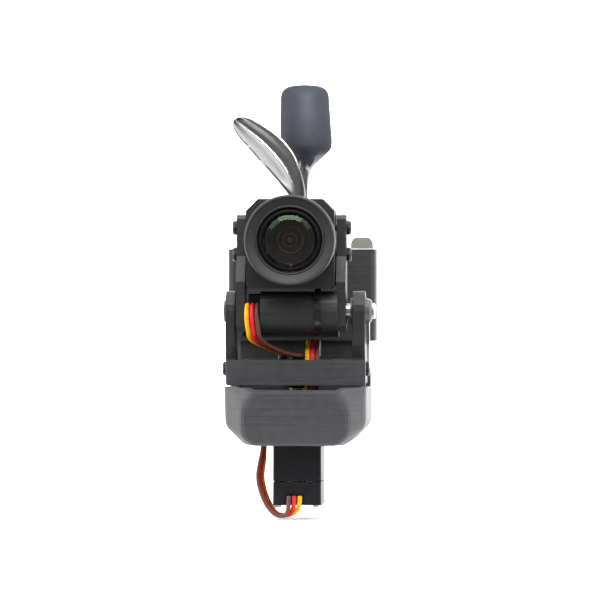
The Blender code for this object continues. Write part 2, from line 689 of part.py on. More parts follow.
def build_camera(finish, tilt):
    centre = CAMERA_CENTRE_X
    low_z, high_z = LENS_Z - 11.6 * MM, LENS_Z + 9.9 * MM
    c = 2.9 * MM
    left, right = centre - CAMERA_HALF, centre + CAMERA_HALF
    outline = [
        (left, low_z + 0.8 * MM),
        (left + 0.8 * MM, low_z),
        (right - 0.8 * MM, low_z),
        (right, low_z + 0.8 * MM),
    ]
    outline += [(right, high_z - c), (right - c, high_z), (left + c, high_z), (left, high_z - c)]
    body = make_object(
        "camera_body", prism(outline, CAMERA_FRONT, CAMERA_REAR - 2.2 * MM, 1), finish["camera"], tilt
    )
    cavity = prism(
        [(x * 0.86 + centre * 0.14, z * 0.86 + LENS_Z * 0.14) for x, z in outline], -13 * MM, 5 * MM, 1
    )
    cut(body, cavity)
    cut(body, rod(8.2 * MM, -20 * MM, -10 * MM, (LENS_X, 0, LENS_Z), 1, 32))
    for y, z in camera_screw_places():
        cut(body, rod(0.95 * MM, -20 * MM, -9 * MM, (0, y, z), 0, 10))
        cut(body, rod(0.95 * MM, 6.5 * MM, 20 * MM, (0, y, z), 0, 10))
    back = make_object(
        "camera_back_cover",
        prism(outline, CAMERA_REAR - 1.9 * MM, CAMERA_REAR, 1),
        finish["camera"],
        tilt,
    )
    # Heat fins are the ribs between these grooves; the lowest cut is the cable outlet
    for i in range(5):
        z = LENS_Z + (i * 3.0 - 4.0) * MM
        cut(
            back,
            block((left + 3 * MM, CAMERA_REAR - 0.9 * MM, z), (right - 3 * MM, 3 * MM, z + 1.4 * MM)),
        )
    cut(
        back,
        block((centre - 3 * MM, -5 * MM, low_z + 1.6 * MM), (centre + 3 * MM, 5 * MM, low_z + 4.2 * MM)),
    )

    axis = (LENS_X, 0, LENS_Z)
    hood = [(10.85, 15.3), (10.85, 21.6), (10.2, 22.8), (8.6, 23.0), (7.95, 21.0), (7.95, 15.3)]
    make_object(
        "lens_hood", turned([(r * MM, y * MM) for r, y in hood], axis, 1, 32), finish["camera"], tilt
    )
    barrel = [(7.6, 12.4), (7.6, 21.2), (6.9, 22.0), (6.75, 21.2), (6.75, 19.9), (5.9, 19.9), (5.9, 12.4)]
    make_object(
        "lens_barrel", turned([(r * MM, y * MM) for r, y in barrel], axis, 1, 28), finish["gloss"], tilt
    )
    glass = [(0, 20.2), (6.45, 20.2), (6.45, 20.6)]
    rise = [math.radians(20 * i) for i in range(1, 5)]
    dome = [(6.45 * math.cos(a), 20.6 + 1.6 * math.sin(a)) for a in rise]
    glass_mm = [(r * MM, y * MM) for r, y in glass + dome + [(0, 22.2)]]
    make_object("front_lens", turned(glass_mm, axis, 1, 24), finish["glass"], tilt)
    rear_lens = [(0, 14.2), (2.6, 14.2), (2.6, 14.9), (1.9, 15.7), (1.0, 16.1), (0, 16.2)]
    make_object(
        "inner_lens", turned([(r * MM, y * MM) for r, y in rear_lens], axis, 1, 16), finish["glass"], tilt
    )
    sensor = block(
        (centre - 7.5 * MM, -9.6 * MM, LENS_Z - 7.5 * MM), (centre + 7.5 * MM, -8.4 * MM, LENS_Z + 7 * MM)
    )
    make_object("image_sensor_board", sensor, finish["board"], tilt)

    names = ("upper", "lower")
    for (y, z), name in zip(camera_screw_places(), names):
        for side, x, sign in (("left", LEFT_CHEEK[0], -1), ("right", RIGHT_CHEEK[1], 1)):
            item = screw(
                f"camera_screw_{side}_{name}",
                finish["black_steel"],
                1.75 * MM,
                1.1 * MM,
                0.8 * MM,
                4.2 * MM,
                tilt,
            )
            place_screw(item, (x + sign * 0.05 * MM, y, z), (sign, 0, 0))

    middle = (BARREL_AXIS_Y, BARREL_AXIS_Z)
    outer, inside = BARREL_RADIUS + 0.75 * MM, BARREL_RADIUS + 0.15 * MM
    band = arc(middle, outer, 98, 266, 16) + arc(middle, inside, 266, 98, 16)
    make_object("cable_tie", prism(band, 4.6 * MM, 6.0 * MM, 0), finish["gloss"], tilt)


def build_cradle(finish):
    """The rear cradle with its two posts, and the video module and aerial that it carries."""
    w = CRADLE_HALF_WIDTH
    cradle = make_object(
        "rear_cradle",
        rounded_block((-w, CRADLE_FRONT, CRADLE_BOTTOM), (w, CRADLE_REAR, CRADLE_TOP), 1.2 * MM, 2),
        finish["printed"],
    )
    foot_low = (-16.2 * MM, CRADLE_FRONT + 1.2 * MM, BASE_RIM_REAR + GAP)
    cut(cradle, rounded_block(foot_low, (16.2 * MM, 30.6 * MM, 26 * MM), 1.2 * MM, 2), "UNION")
    pocket_low = (-MODULE_HALF_WIDTH - GAP, CRADLE_FRONT + 1.8 * MM, 26.7 * MM)
    cut(cradle, block(pocket_low, (MODULE_HALF_WIDTH + GAP, CRADLE_REAR - 1.8 * MM, 60 * MM)))
    cut(cradle, block((-11.9 * MM, 15 * MM, CRADLE_CENTRE_TOP), (11.9 * MM, 40 * MM, 60 * MM)))
    # Window in the rear wall for the module's cooling fins
    cut(cradle, block((-11 * MM, 30 * MM, 30 * MM), (11 * MM, 40 * MM, 41 * MM)))
    for x in (-11 * MM, 11 * MM):
        cut(cradle, rod(1.15 * MM, 10 * MM, 30 * MM, (x, 26.5 * MM, 0), 2, 12))
        cut(cradle, rod(2.4 * MM, 25.6 * MM, 30 * MM, (x, 26.5 * MM, 0), 2, 14))
        item = screw(
            f"cradle_screw_{'left' if x < 0 else 'right'}",
            finish["black_steel"],
            1.9 * MM,
            0.9 * MM,
            0.9 * MM,
            9 * MM,
        )
        place_screw(item, (x, 26.5 * MM, 25.65 * MM), (0, 0, 1))

    m = MODULE_HALF_WIDTH
    module_low = (-m, CRADLE_FRONT + 2.1 * MM, 27.0 * MM)
    module = make_object(
        "video_module_case",
        rounded_block(module_low, (m, CRADLE_FRONT + 7.0 * MM, 45.6 * MM), 1.0 * MM, 1),
        finish["module"],
    )
    cut(module, block((-m + 1 * MM, CRADLE_FRONT + 3.1 * MM, 28 * MM), (m - 1 * MM, 50 * MM, 44.6 * MM)))
    sink = make_object(
        "video_module_heat_sink",
        block((-m, CRADLE_FRONT + 7.2 * MM, 27.0 * MM), (m, CRADLE_REAR - 2.2 * MM, 45.6 * MM)),
        finish["module"],
    )
    for i in range(5):
        x = (i - 2) * 4.4 * MM
        cut(sink, block((x - 1.3 * MM, CRADLE_FRONT + 9 * MM, 20 * MM), (x + 1.3 * MM, 50 * MM, 60 * MM)))
    cap_low, cap_high = CRADLE_TOP + 0.05 * MM, 50.0 * MM
    cap_left, cap_right, cap_round = 11.9 * MM, 17.2 * MM, 1.7 * MM
    cap_outline = [(cap_left, cap_low), (cap_right, cap_low)]
    cap_outline += arc((cap_right - cap_round, cap_high - cap_round), cap_round, 0, 90, 5)
    cap_outline += arc((cap_left + cap_round, cap_high - cap_round), cap_round, 90, 180, 5)
    cap_profile = prism(cap_outline, CRADLE_FRONT, 27 * MM, 1)
    make_object("post_cap", cap_profile, finish["cap"])


def loft(sections, segments=14):
    """A closed skin over ellipses: each is centre, half width vector and half depth vector."""
    shape = bmesh.new()
    rings = []
    for centre, across, deep in sections:
        turn = [2 * math.pi * i / segments for i in range(segments)]
        rings.append([shape.verts.new(centre + across * math.cos(a) + deep * math.sin(a)) for a in turn])
    for lower, upper in zip(rings, rings[1:]):
        for i in range(segments):
            j = (i + 1) % segments
            shape.faces.new((lower[i], lower[j], upper[j], upper[i]))
    shape.faces.new(rings[0])
    shape.faces.new(rings[-1])
    return shape


def build_aerial(finish):
    """A moulded aerial: an upright arm with a round head, and a leaf-shaped arm that leans to the left."""
    upright = [
        (0.3, 45.9, 1.1, 1.1),
        (0.3, 60.0, 1.05, 1.05),
        (0.4, 64.6, 1.1, 1.1),
        (0.6, 67.3, 1.45, 1.4),
        (0.7, 69.0, 3.0, 2.9),
        (0.75, 70.3, 4.9, 4.7),
        (0.75, 72.4, 6.3, 5.8),
        (0.6, 76.0, 6.2, 5.8),
        (0.45, 82.0, 6.0, 5.6),
        (0.4, 84.6, 5.8, 5.4),
        (0.4, 86.0, 5.1, 4.8),
        (0.4, 87.0, 3.2, 3.0),
        (0.4, 87.3, 1.0, 1.0),
    ]
    make_object("aerial_upright_arm", aerial_arm(upright, (1, 0, 0), 28.4, 28.8), finish["rubber"])
    leaf = [
        (-0.6, 45.9, 1.2, 1.0),
        (-0.8, 56.0, 1.4, 1.0),
        (-1.1, 60.1, 2.0, 1.1),
        (-2.7, 64.2, 2.9, 1.2),
        (-4.8, 67.9, 3.7, 1.3),
        (-7.7, 71.4, 3.9, 1.3),
        (-10.3, 73.9, 3.4, 1.3),
        (-12.9, 76.1, 2.6, 1.2),
        (-15.1, 77.9, 1.6, 1.0),
        (-16.3, 78.8, 0.7, 0.6),
    ]
    make_object("aerial_side_arm", aerial_arm(leaf, (0.8, 0, 0.6), 24.6, 21.9), finish["rubber"])


def aerial_arm(rows, across, foot_y, head_y):
    """Rows of (x, z, half width, half depth) in millimetres, lofted into one arm from foot to head."""
    sections = []
    for x, z, half, deep in rows:
        turn = min(1.0, max(0.0, (z - 57.0) / 8.0))
        lean = Vector((1, 0, 0)).lerp(Vector(across), turn).normalized()
        y = foot_y + (head_y - foot_y) * min(1.0, max(0.0, (z - 48.0) / 17.0))
        sections.append((Vector((x, y, z)) * MM, lean * half * MM, Vector((0, deep, 0)) * MM))
    return loft(sections)


def ribbon(name, route, finish, colours, parent=None):
    """Three wires side by side along (middle, across) pairs, across being the step between wires."""
    for step, colour in zip((-1, 0, 1), colours):
        points = [(Vector(middle) + step * Vector(across)) * MM for middle, across in route]
        wire(f"{name}_{colour}", smooth_route(points, 2), finish[colour], parent)


# Millimetres: out of the bottom cover's notch, under the servo, up its left side and into the base
PAN_LEAD_ROUTE = [
    ((-0.6, -6.35, -12.4), (1.3, 0.0, 0.0)),
    ((-0.7, -6.9, -14.0), (1.3, 0.0, 0.0)),
    ((-1.1, -6.6, -15.7), (1.05, 0.85, 0.0)),
    ((-2.6, -5.7, -16.9), (0.3, 1.35, 0.0)),
    ((-5.1, -5.0, -16.55), (0.1, 1.4, 0.1)),
    ((-7.1, -4.4, -14.1), (0.35, 1.35, 0.1)),
    ((-8.5, -3.6, -10.6), (0.45, 1.35, 0.0)),
    ((-9.0, -3.0, -7.4), (0.45, 1.35, 0.0)),
    ((-8.6, -2.4, -4.2), (0.4, 1.35, 0.0)),
    ((-8.25, -1.6, -1.2), (0.2, 1.4, 0.0)),
    ((-8.25, -1.2, 1.6), (0.0, 1.4, 0.0)),
    ((-8.25, -0.8, 7.4), (0.0, 1.4, 0.0)),
]
# Out of the tilt servo, past the barrel, across the platform, up in a fold and down the passage
TILT_LEAD_ROUTE = [
    ((-10.35, -10.95, 33.3), (1.2, 0.0, 0.0)),
    ((-10.4, -12.6, 33.6), (1.2, 0.0, 0.0)),
    ((-10.5, -14.1, 32.0), (1.2, 0.0, 0.0)),
    ((-10.4, -14.5, 29.6), (1.2, 0.0, 0.0)),
    ((-10.1, -14.1, 27.5), (1.2, 0.0, 0.0)),
    ((-9.9, -12.8, 26.0), (1.2, -0.1, 0.0)),
    ((-9.2, -11.0, 25.0), (1.12, -0.45, 0.0)),
    ((-7.9, -9.2, 24.1), (0.95, -0.75, 0.0)),
    ((-6.0, -7.8, 23.2), (0.75, -0.95, 0.0)),
    ((-3.7, -6.7, 22.3), (0.5, -1.1, 0.0)),
    ((-1.2, -6.1, 21.7), (0.25, -1.18, 0.0)),
    ((1.2, -5.5, 21.4), (0.4, -1.13, 0.0)),
    ((2.9, -4.5, 21.3), (0.85, -0.85, 0.0)),
    ((3.7, -3.1, 21.4), (1.17, -0.25, 0.0)),
    ((3.8, -1.9, 22.1), (1.2, 0.0, 0.0)),
    ((3.8, -1.4, 23.5), (1.2, 0.0, 0.0)),
    ((3.8, -2.2, 24.8), (1.2, 0.0, 0.0)),
    ((3.8, -3.6, 24.6), (1.2, 0.0, 0.0)),
    ((3.8, -5.0, 23.7), (1.2, 0.0, 0.0)),
    ((3.8, -6.5, 22.9), (1.2, 0.0, 0.0)),
    ((3.8, -8.0, 22.2), (1.2, 0.0, 0.0)),
    ((3.8, -8.65, 20.6), (1.2, 0.0, 0.0)),
    ((3.8, -8.65, 17.0), (1.2, 0.0, 0.0)),
    ((3.6, -8.5, 12.9), (1.2, 0.0, 0.0)),
]


def main():
    clear_scene()
    finish = {
        "printed": material("printed_plastic", (0.075, 0.076, 0.08), 0.62),
        "servo": material("servo_plastic", (0.014, 0.014, 0.017), 0.42),
        "camera": material("camera_shell", (0.05, 0.05, 0.052), 0.5),
        "gloss": material("gloss_black", (0.01, 0.01, 0.011), 0.18),
        "glass": material("lens_glass", (0.01, 0.014, 0.014), 0.05, 0.0, 0.5),
        "black_steel": material("black_steel", (0.02, 0.02, 0.02), 0.35, 0.8),
        "steel": material("bright_steel", (0.62, 0.6, 0.57), 0.3, 1.0),
        "brass": material("brass", (0.62, 0.42, 0.17), 0.3, 1.0),
        "nylon": material("white_nylon", (0.8, 0.8, 0.78), 0.4),
        "module": material("module_black", (0.03, 0.03, 0.032), 0.45),
        "cap": material("beige_cap", (0.36, 0.355, 0.33), 0.5),
        "rubber": material("moulded_grey", (0.06, 0.063, 0.07), 0.38),
        "board": material("circuit_board", (0.02, 0.09, 0.04), 0.45),
        "brown": material("brown_wire", (0.2, 0.09, 0.05), 0.45),
        "red": material("red_wire", (0.72, 0.02, 0.02), 0.4),
        "yellow": material("yellow_wire", (0.85, 0.42, 0.01), 0.4),
    }
    pan = axis_empty("pan_axis", (0, 0, 0))
    tilt = axis_empty("tilt_axis", TILT_AXIS, pan)
    build_base(finish)
    build_pan_servo(finish)
    build_platform(finish, pan)
    build_tilt_drive(finish, pan)
    build_tilt_frame(finish, tilt)
    build_tilt_servo(finish, tilt)
    build_camera(finish, tilt)
    build_cradle(finish)
    build_aerial(finish)
    ribbon("pan_lead", PAN_LEAD_ROUTE, finish, ("brown", "red", "yellow"))
    ribbon("tilt_lead", TILT_LEAD_ROUTE, finish, ("yellow", "red", "brown"), pan)


main()
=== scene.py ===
"""The pan and tilt camera mount's looks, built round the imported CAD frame.

Metres, +Z up. The mount's own camera faces -Y.
"""

import json
import math

import bmesh
import bpy
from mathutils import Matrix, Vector


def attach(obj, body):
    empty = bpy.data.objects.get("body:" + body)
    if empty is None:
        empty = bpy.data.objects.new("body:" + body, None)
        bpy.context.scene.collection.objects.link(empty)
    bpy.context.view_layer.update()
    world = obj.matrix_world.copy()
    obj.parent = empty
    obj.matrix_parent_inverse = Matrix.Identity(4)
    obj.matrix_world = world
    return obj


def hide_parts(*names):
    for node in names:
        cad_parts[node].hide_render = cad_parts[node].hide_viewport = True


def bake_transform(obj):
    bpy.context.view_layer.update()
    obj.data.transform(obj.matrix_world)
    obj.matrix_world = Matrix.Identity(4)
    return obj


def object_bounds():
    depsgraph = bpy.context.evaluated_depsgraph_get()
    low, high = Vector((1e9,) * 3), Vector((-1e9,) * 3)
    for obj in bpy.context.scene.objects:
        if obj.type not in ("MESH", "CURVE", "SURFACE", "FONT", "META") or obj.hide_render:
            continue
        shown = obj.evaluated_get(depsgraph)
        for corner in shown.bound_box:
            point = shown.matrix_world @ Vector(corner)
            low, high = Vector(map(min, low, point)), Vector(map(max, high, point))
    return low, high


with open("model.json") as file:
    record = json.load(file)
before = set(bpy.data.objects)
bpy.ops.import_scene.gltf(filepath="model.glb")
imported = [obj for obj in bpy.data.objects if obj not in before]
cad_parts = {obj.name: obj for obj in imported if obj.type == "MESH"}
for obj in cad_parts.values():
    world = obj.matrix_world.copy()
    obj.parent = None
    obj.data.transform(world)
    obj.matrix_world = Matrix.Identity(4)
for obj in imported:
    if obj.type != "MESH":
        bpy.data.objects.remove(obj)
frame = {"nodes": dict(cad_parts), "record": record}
cad_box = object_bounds()

MM = 0.001
NODES = frame["nodes"]
LENS = Vector((-1.1, 0.0, 49.2)) * MM

# ---------------------------------------------------------------- camera

VIEW_AZIMUTH = math.radians(2.5)
VIEW_ELEVATION = math.radians(0.3)
VIEW_DISTANCE = 2000 * MM
VIEW_TARGET = Vector((0.46, 0.0, 34.8)) * MM
VIEW_HALF_WIDTH = 72.3 * MM
SENSOR_WIDTH = 36.0


def make_camera():
    back = Vector((
        math.sin(VIEW_AZIMUTH) * math.cos(VIEW_ELEVATION),
        -math.cos(VIEW_AZIMUTH) * math.cos(VIEW_ELEVATION),
        math.sin(VIEW_ELEVATION),
    ))
    data = bpy.data.cameras.new("photo_camera")
    data.sensor_width = SENSOR_WIDTH
    data.lens = SENSOR_WIDTH / 2 * VIEW_DISTANCE / VIEW_HALF_WIDTH
    data.clip_start = 0.01
    camera = bpy.data.objects.new("photo_camera", data)
    bpy.context.scene.collection.objects.link(camera)
    camera.location = VIEW_TARGET + back * VIEW_DISTANCE
    camera.rotation_mode = "QUATERNION"
    camera.rotation_quaternion = (-back).to_track_quat("-Z", "Y")
    bpy.context.scene.camera = camera


# ---------------------------------------------------------------- materials


class Surface:
    """A Principled material whose colour, roughness and bump come from small procedural textures."""

    def __init__(self, name, colour, roughness, metallic=0.0):
        self.material = bpy.data.materials.new(name)
        self.material.use_nodes = True
        self.tree = self.material.node_tree
        self.shader = self.tree.nodes["Principled BSDF"]
        self.shader.inputs["Metallic"].default_value = metallic
        self.place = self.node("ShaderNodeTexCoord").outputs["Object"]
        self.colour = colour
        self.roughness = roughness
        self.heights = []

    def node(self, kind, **settings):
        made = self.tree.nodes.new(kind)
        for key, value in settings.items():
            setattr(made, key, value)
        return made

    def link(self, source, target):
        self.tree.links.new(source, target)

    def math(self, operation, first, second=None):
        made = self.node("ShaderNodeMath", operation=operation)
        for socket, value in zip(made.inputs, (first, second)):
            if isinstance(value, (int, float)):
                socket.default_value = value
            elif value is not None:
                self.link(value, socket)
        return made.outputs[0]

    def noise(self, size, detail=3.0, stretch=(1, 1, 1)):
        """Noise whose blobs are about size metres across."""
        mapping = self.node("ShaderNodeMapping")
        mapping.inputs["Scale"].default_value = stretch
        self.link(self.place, mapping.inputs["Vector"])
        made = self.node("ShaderNodeTexNoise")
        made.inputs["Scale"].default_value = 1 / size
        made.inputs["Detail"].default_value = detail
        self.link(mapping.outputs[0], made.inputs["Vector"])
        return made.outputs["Fac"]

    def layers(self, axis, pitch, wobble=0.12):
        """The rounded lines that a printer's layers leave, across one axis."""
        split = self.node("ShaderNodeSeparateXYZ")
        self.link(self.place, split.inputs[0])
        along = split.outputs[axis]
        turns = self.math("MULTIPLY", along, 2 * math.pi / pitch)
        wave = self.math("MULTIPLY", self.noise(4 * MM), wobble * 2 * math.pi)
        shifted = self.math("ADD", turns, wave)
        return self.math("ABSOLUTE", self.math("SINE", self.math("MULTIPLY", shifted, 0.5)))

    def rings(self, x, z, pitch):
        """Fine rounds about an axis along Y through a place."""
        split = self.node("ShaderNodeSeparateXYZ")
        self.link(self.place, split.inputs[0])
        squares = []
        for axis, middle in ((0, x), (2, z)):
            off = self.math("SUBTRACT", split.outputs[axis], middle)
            squares.append(self.math("MULTIPLY", off, off))
        radius = self.math("SQRT", self.math("ADD", *squares))
        turns = self.math("MULTIPLY", radius, math.pi / pitch)
        return self.math("ABSOLUTE", self.math("SINE", turns))

    def mix(self, first, second, share):
        kept = self.math("MULTIPLY", first, 1 - share)
        return self.math("ADD", kept, self.math("MULTIPLY", second, share))

    def vary_colour(self, factor, low=0.8, high=1.2, tint=(1, 1, 1)):
        ramp = self.node("ShaderNodeValToRGB")
        ends = ramp.color_ramp.elements
        ends[0].position, ends[1].position = 0.3, 0.7
        ends[0].color = (*[c * low for c in self.colour], 1)
        ends[1].color = (*[min(1, c * high * t) for c, t in zip(self.colour, tint)], 1)
        self.link(factor, ramp.inputs[0])
        self.link(ramp.outputs[0], self.shader.inputs["Base Color"])

    def vary_roughness(self, factor, spread):
        low = self.math("SUBTRACT", self.roughness, spread / 2)
        varied = self.math("ADD", low, self.math("MULTIPLY", factor, spread))
        self.link(varied, self.shader.inputs["Roughness"])

    def bump(self, height, depth, strength=1.0):
        made = self.node("ShaderNodeBump")
        made.inputs["Distance"].default_value = depth
        made.inputs["Strength"].default_value = strength
        self.link(height, made.inputs["Height"])
        if self.heights:
            self.link(self.heights[-1].outputs[0], made.inputs["Normal"])
        self.heights.append(made)

    def done(self):
        if self.heights:
            self.link(self.heights[-1].outputs[0], self.shader.inputs["Normal"])
        return self.material


def printed(name, axis, colour=(0.039, 0.04, 0.0445)):
    """Black-grey filament print: layer lines and streaks along them, a dull sheen and faint blotches."""
    made = Surface(name, colour, 0.46)
    along = [0.03, 0.03, 0.03]
    along[axis] = 1
    streaks = made.noise(0.42 * MM, 2.0, tuple(along))
    made.vary_colour(made.mix(made.noise(2.5 * MM, 5), streaks, 0.6), 0.7, 1.28)
    made.vary_roughness(made.mix(made.noise(0.6 * MM, 4), streaks, 0.5), 0.22)
    made.bump(made.noise(0.25 * MM, 3), 0.012 * MM)
    made.bump(streaks, 0.05 * MM, 0.7)
    made.bump(made.layers(axis, 0.2 * MM), 0.03 * MM, 0.7)
    return made.done()


def turned_grain(name, colour, roughness):
    """The lens hood's dull black, with fine rounds about the lens axis."""
    made = Surface(name, colour, roughness)
    rounds = made.rings(LENS.x, LENS.z, 0.42 * MM)
    made.vary_colour(made.mix(made.noise(0.22 * MM, 3), rounds, 0.35), 0.62, 1.4)
    made.vary_roughness(made.noise(0.5 * MM), 0.16)
    made.bump(made.noise(0.16 * MM, 2), 0.03 * MM)
    made.bump(rounds, 0.03 * MM, 0.7)
    return made.done()


def moulded(name, colour, roughness, grain=0.2 * MM, depth=0.006 * MM, coat=0.0, spread=0.12, bend=1.5):
    """Injection-moulded plastic with a fine grain."""
    made = Surface(name, colour, roughness)
    made.vary_colour(made.noise(3 * MM, 4), 0.88, 1.12)
    made.vary_roughness(made.noise(0.8 * MM, 4), spread)
    made.bump(made.noise(grain, 2), depth)
    made.shader.inputs["IOR"].default_value = bend
    made.shader.inputs["Coat Weight"].default_value = coat
    made.shader.inputs["Coat Roughness"].default_value = 0.12
    return made.done()


STALK_TOP = 66 * MM
HEAD_FOOT = 71 * MM
GLOSSY = (0.16, 0.58)
POLISHED = (0.2, 0.2)


def aerial_cover(name, colour, mirror, roughness):
    """The aerial's grey cover, with one roughness below STALK_TOP and another from HEAD_FOOT up."""
    made = Surface(name, colour, 0.5)
    made.vary_colour(made.noise(3 * MM, 4), 0.9, 1.1)
    made.shader.inputs["IOR"].default_value = mirror
    split = made.node("ShaderNodeSeparateXYZ")
    made.link(made.place, split.inputs[0])
    height = made.node("ShaderNodeMapRange")
    low, high = roughness
    for key, value in (
        ("From Min", STALK_TOP),
        ("From Max", HEAD_FOOT),
        ("To Min", low),
        ("To Max", high),
    ):
        height.inputs[key].default_value = value
    made.link(split.outputs[2], height.inputs["Value"])
    below_head = made.math("SUBTRACT", high, height.outputs[0])
    sheen = made.math("MULTIPLY", below_head, 1 / max(high - low, 0.1))
    made.link(sheen, made.shader.inputs["Coat Weight"])
    made.shader.inputs["Coat IOR"].default_value = 3.2
    made.shader.inputs["Coat Roughness"].default_value = 0.16
    speckle = made.math("MULTIPLY", made.noise(0.8 * MM, 4), 0.1)
    made.link(made.math("ADD", height.outputs[0], speckle), made.shader.inputs["Roughness"])
    made.bump(made.noise(0.3 * MM, 2), 0.002 * MM)
    return made.done()


def metal(name, colour, roughness, stretch=(1, 1, 1)):
    """Turned or plated metal with fine tool marks."""
    made = Surface(name, colour, roughness, 1.0)
    made.vary_colour(made.noise(0.7 * MM, 4), 0.8, 1.1)
    made.vary_roughness(made.noise(0.3 * MM, 4, stretch), 0.2)
    made.bump(made.noise(0.12 * MM, 2, stretch), 0.004 * MM)
    return made.done()


def glass(name, tint, film):
    """Coated lens glass: clear, with a thin film that colours its reflections."""
    made = Surface(name, tint, 0.02)
    made.vary_colour(made.noise(4 * MM, 2), 0.96, 1.0)
    made.vary_roughness(made.noise(1.5 * MM, 3), 0.02)
    made.shader.inputs["Transmission Weight"].default_value = 1.0
    made.shader.inputs["IOR"].default_value = 1.46
    made.shader.inputs["Thin Film Thickness"].default_value = film
    made.shader.inputs["Thin Film IOR"].default_value = 1.38
    return made.done()


def wire_cover(name, colour):
    """Soft PVC insulation, slightly glossy and slightly uneven."""
    made = Surface(name, colour, 0.34)
    made.vary_colour(made.noise(1.6 * MM, 4), 0.82, 1.1)
    made.vary_roughness(made.noise(0.5 * MM, 3), 0.14)
    made.bump(made.noise(0.5 * MM, 3), 0.02 * MM)
    made.shader.inputs["IOR"].default_value = 1.38
    made.shader.inputs["Subsurface Weight"].default_value = 0.12
    made.shader.inputs["Subsurface Radius"].default_value = (0.6 * MM, 0.4 * MM, 0.3 * MM)
    return made.done()


def circuit(name):
    made = Surface(name, (0.012, 0.07, 0.03), 0.4)
    made.vary_colour(made.noise(0.9 * MM, 5), 0.7, 1.4)
    made.vary_roughness(made.noise(0.5 * MM), 0.2)
    made.bump(made.noise(0.4 * MM), 0.03 * MM)
    return made.done()


FINISH = {
    "printed_plastic": printed("printed_upright", 2),
    # A darker copy of the printed plastic for the tilt frame and rear cradle: painted shade, for the
    # shade under and behind the camera.
    "printed_painted_shade": printed("printed_upright_painted_shade", 2, (0.018, 0.018, 0.02)),
    # For the yoke arms: layers run across X, and the darker colour is painted shade.
    "printed_side_painted_shade": printed("printed_flat_across_painted_shade", 0, (0.021, 0.021, 0.0235)),
    "hood_black": turned_grain("hood_dull_black", (0.02, 0.02, 0.0205), 0.5),
    "bezel_black": turned_grain("bezel_satin_black", (0.014, 0.014, 0.015), 0.35),
    "inner_black": moulded("lens_inner_black", (0.002, 0.002, 0.002), 0.6),
    # The inner lens's pinkish glint is painted into its colour: a painted reflection.
    "pupil_painted_glint": moulded("lens_pupil_painted_glint", (0.2, 0.1, 0.11), 0.2),
    # Grey for thin rings on the lens's inner edges: painted highlights.
    "ring_highlight": moulded("lens_inner_ring_grey", (0.1, 0.098, 0.1), 0.35),
    "servo_plastic": moulded("servo_plastic_fine", (0.005, 0.0045, 0.007), 0.42, bend=1.36),
    "camera_shell": moulded("camera_shell_grained", (0.017, 0.0168, 0.0175), 0.5, 0.12 * MM, 0.02 * MM),
    "gloss_black": moulded("gloss_black_fine", (0.008, 0.008, 0.009), 0.2, coat=0.4),
    "lens_glass": glass("lens_glass_coated", (0.62, 0.56, 0.62), 400.0),
    "black_steel": metal("black_oxide_steel", (0.045, 0.045, 0.05), 0.34),
    "bright_steel": metal("bright_zinc_steel", (0.66, 0.64, 0.6), 0.28),
    "brass": metal("turned_brass", (0.7, 0.46, 0.16), 0.3, (1, 1, 6)),
    # The white nylon horn is given a dark grey: painted shade.
    "white_nylon": moulded("nylon_painted_shade", (0.09, 0.089, 0.087), 0.26, 0.5 * MM, 0.02 * MM),
    "module_black": metal("anodised_black", (0.05, 0.05, 0.055), 0.42),
    "beige_cap": moulded("beige_cap_soft", (0.22, 0.216, 0.2), 0.55),
    "moulded_grey": aerial_cover("aerial_moulded_grey", (0.0175, 0.0192, 0.025), 1.27, GLOSSY),
    "aerial_gloss": aerial_cover("aerial_gloss_grey", (0.006, 0.0063, 0.008), 3.3, POLISHED),
    "circuit_board": circuit("green_circuit_board"),
    "brown_wire": wire_cover("brown_insulation", (0.16, 0.055, 0.045)),
    "red_wire": wire_cover("red_insulation", (0.8, 0.02, 0.022)),
    "yellow_wire": wire_cover("yellow_insulation", (1.0, 0.47, 0.0)),
}
OWN_FINISH = {
    "yoke_arm_left": "printed_side_painted_shade",
    "yoke_arm_right": "printed_side_painted_shade",
    "tilt_frame": "printed_painted_shade",
    "rear_cradle": "printed_painted_shade",
    "lens_barrel": "bezel_black",
}
EDGE_WIDTHS = {
    "printed_plastic": 0.18 * MM,
    "servo_plastic": 0.12 * MM,
    "module_black": 0.15 * MM,
}
WELD_DISTANCE = 0.01 * MM
SHARP_EDGE = math.radians(35)


def dress_frame():
    """Gives each carried-over CAD node its material and welds it; for some finishes it also rounds sharp
    edges a little.
    """
    slots = {row["node"]: row["material_slot"] for row in frame["record"]["subparts"]}
    for name, obj in NODES.items():
        slot = slots[name]
        obj.data.materials.clear()
        obj.data.materials.append(FINISH[OWN_FINISH.get(name, slot)])
        for polygon in obj.data.polygons:
            polygon.material_index = 0
        weld = obj.modifiers.new("weld", "WELD")
        weld.merge_threshold = WELD_DISTANCE
        if slot in EDGE_WIDTHS:
            bevel = obj.modifiers.new("soft_edges", "BEVEL")
            bevel.width = EDGE_WIDTHS[slot]
            bevel.segments = 2
            bevel.limit_method = "ANGLE"
            bevel.angle_limit = SHARP_EDGE
            bevel.harden_normals = True


# ---------------------------------------------------------------- helpers for new pieces


def add_mesh(name, shape, finish, smooth_angle=35):
    mesh = bpy.data.meshes.new(name)
    bmesh.ops.recalc_face_normals(shape, faces=shape.faces)
    shape.to_mesh(mesh)
    shape.free()
    mesh.materials.append(finish)
    obj = bpy.data.objects.new(name, mesh)
    bpy.context.scene.collection.objects.link(obj)
    mesh.shade_smooth()
    mesh.set_sharp_from_angle(angle=math.radians(smooth_angle))
    return obj


def catmull(points, steps):
    padded = [2 * points[0] - points[1], *points, 2 * points[-1] - points[-2]]
    route = []
    for a, b, c, d in zip(padded, padded[1:], padded[2:], padded[3:]):
        for i in range(steps):
            t = i / steps
            bend = (2 * a - 5 * b + 4 * c - d) * t * t
            route.append(0.5 * (2 * b + (c - a) * t + bend + (3 * b - a - 3 * c + d) * t**3))
    return [*route, points[-1]]


